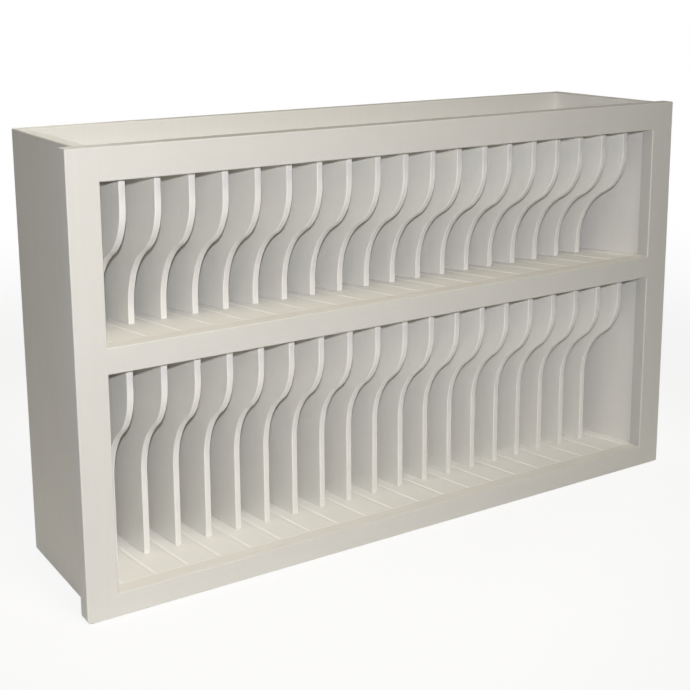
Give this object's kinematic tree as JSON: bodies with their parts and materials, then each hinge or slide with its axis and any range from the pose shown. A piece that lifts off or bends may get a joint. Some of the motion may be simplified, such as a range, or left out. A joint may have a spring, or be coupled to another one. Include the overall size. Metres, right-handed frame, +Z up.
{
  "type": "plate rack",
  "caption": "Wall-hung painted plate rack: a shallow framed case with two tiers of upright S-edged dividers that hold plates on edge over sloping grooved shelves.",
  "frame": {"origin": "middle of the back panel's rear face, which lies on the wall", "axes": "+X to the right as seen from the front, +Y from the front into the wall, +Z up"},
  "size_m": [1, 0.25, 0.6],
  "materials": {
    "frame_paint": "satin pale stone paint",
    "carcass_paint": "satin pale stone paint",
    "shelf_paint": "satin pale stone paint",
    "divider_paint": "satin pale stone paint"
  },
  "bodies": {
    "root": {"left_stile": "frame_paint", "right_stile": "frame_paint", "top_rail": "frame_paint", "middle_rail": "frame_paint", "bottom_rail": "frame_paint", "left_side_panel": "carcass_paint", "right_side_panel": "carcass_paint", "back_panel": "carcass_paint", "top_panel": "carcass_paint", "bottom_shelf": "shelf_paint", "middle_shelf": "shelf_paint", "upper_divider_01": "divider_paint", "upper_divider_02": "divider_paint", "upper_divider_03": "divider_paint", "upper_divider_04": "divider_paint", "upper_divider_05": "divider_paint", "upper_divider_06": "divider_paint", "upper_divider_07": "divider_paint", "upper_divider_08": "divider_paint", "upper_divider_09": "divider_paint", "upper_divider_10": "divider_paint", "upper_divider_11": "divider_paint", "upper_divider_12": "divider_paint", "upper_divider_13": "divider_paint", "upper_divider_14": "divider_paint", "upper_divider_15": "divider_paint", "upper_divider_16": "divider_paint", "upper_divider_17": "divider_paint", "upper_divider_18": "divider_paint", "upper_divider_19": "divider_paint", "lower_divider_01": "divider_paint", "lower_divider_02": "divider_paint", "lower_divider_03": "divider_paint", "lower_divider_04": "divider_paint", "lower_divider_05": "divider_paint", "lower_divider_06": "divider_paint", "lower_divider_07": "divider_paint", "lower_divider_08": "divider_paint", "lower_divider_09": "divider_paint", "lower_divider_10": "divider_paint", "lower_divider_11": "divider_paint", "lower_divider_12": "divider_paint", "lower_divider_13": "divider_paint", "lower_divider_14": "divider_paint", "lower_divider_15": "divider_paint", "lower_divider_16": "divider_paint", "lower_divider_17": "divider_paint", "lower_divider_18": "divider_paint", "lower_divider_19": "divider_paint"}
  },
  "joints": []
}
